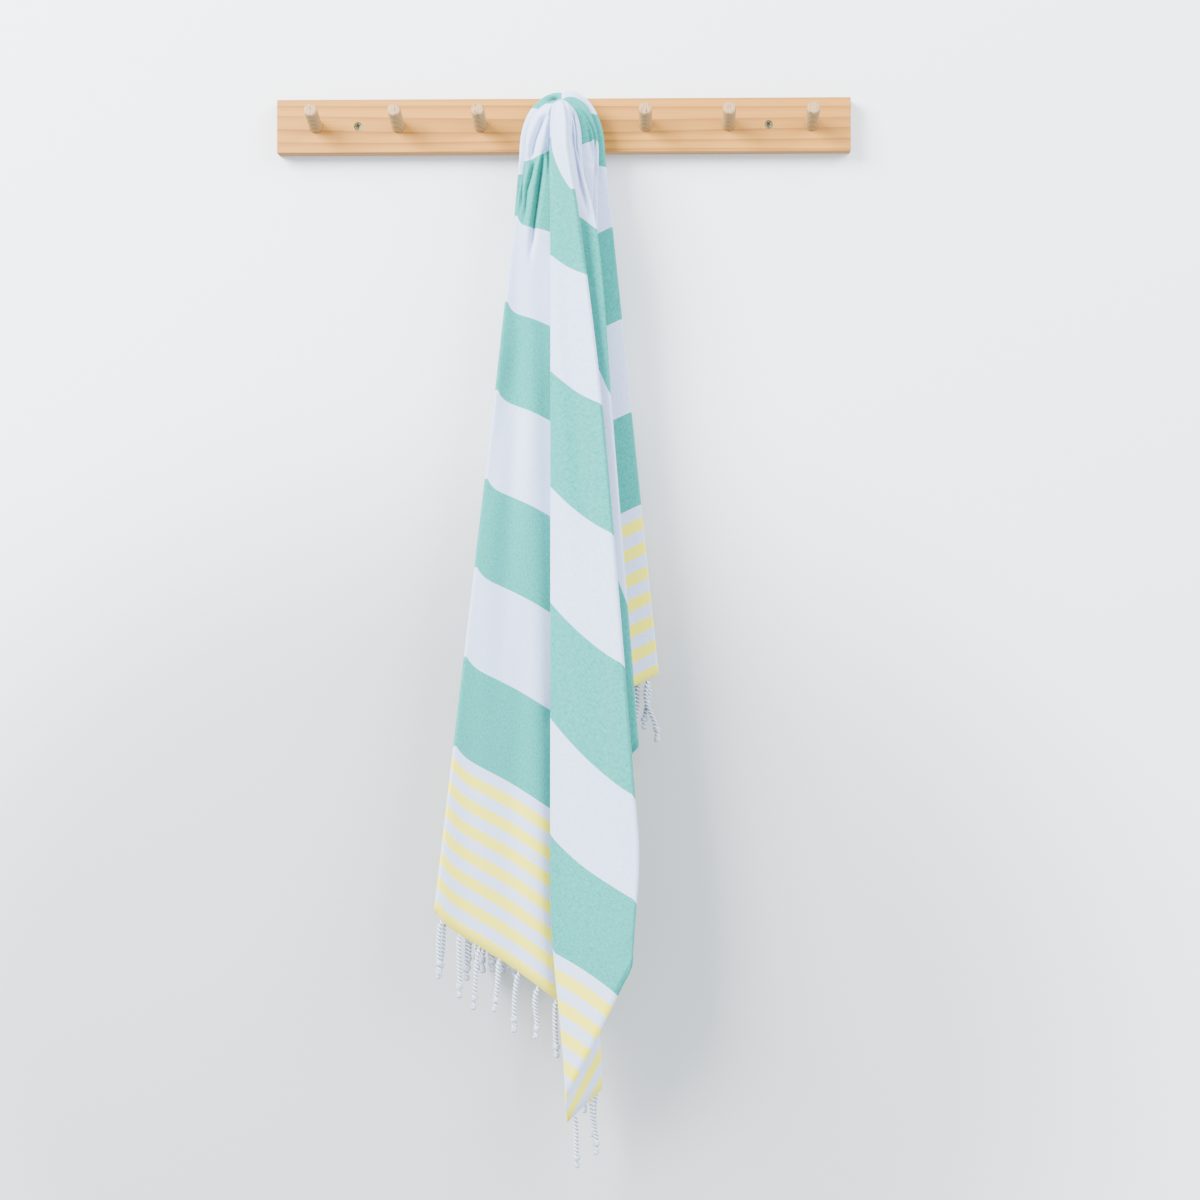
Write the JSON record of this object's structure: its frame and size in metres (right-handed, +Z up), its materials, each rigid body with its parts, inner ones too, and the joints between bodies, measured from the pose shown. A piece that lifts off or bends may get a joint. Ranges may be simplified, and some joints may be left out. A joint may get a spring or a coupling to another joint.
{
  "type": "fringed towel on wall peg rail",
  "caption": "Thin striped cotton towel with tasselled ends, hung over the middle peg of a pine peg rail that is screwed flat to a wall.",
  "frame": {"origin": "the middle of the rail's back face, which lies on the wall", "axes": "+Z up, +Y into the wall, +X to the right along the rail as seen from the room"},
  "size_m": [0.608, 0.1214, 1.1307],
  "materials": {
    "towel_cotton": "matt plain weave with a coloured weft",
    "fringe_cotton": "matt twisted yarn",
    "rail_pine": "planed, satin oil",
    "peg_wood": "sanded, matt",
    "screw_steel": "zinc plated, satin"
  },
  "bodies": {
    "root": {"towel_cloth": "towel_cotton", "front_fringe": "fringe_cotton", "back_fringe": "fringe_cotton", "rail": "rail_pine", "peg_1": "peg_wood", "peg_2": "peg_wood", "peg_3": "peg_wood", "peg_4": "peg_wood", "peg_5": "peg_wood", "peg_6": "peg_wood", "peg_7": "peg_wood", "screw_1": "screw_steel", "screw_2": "screw_steel"}
  },
  "joints": []
}
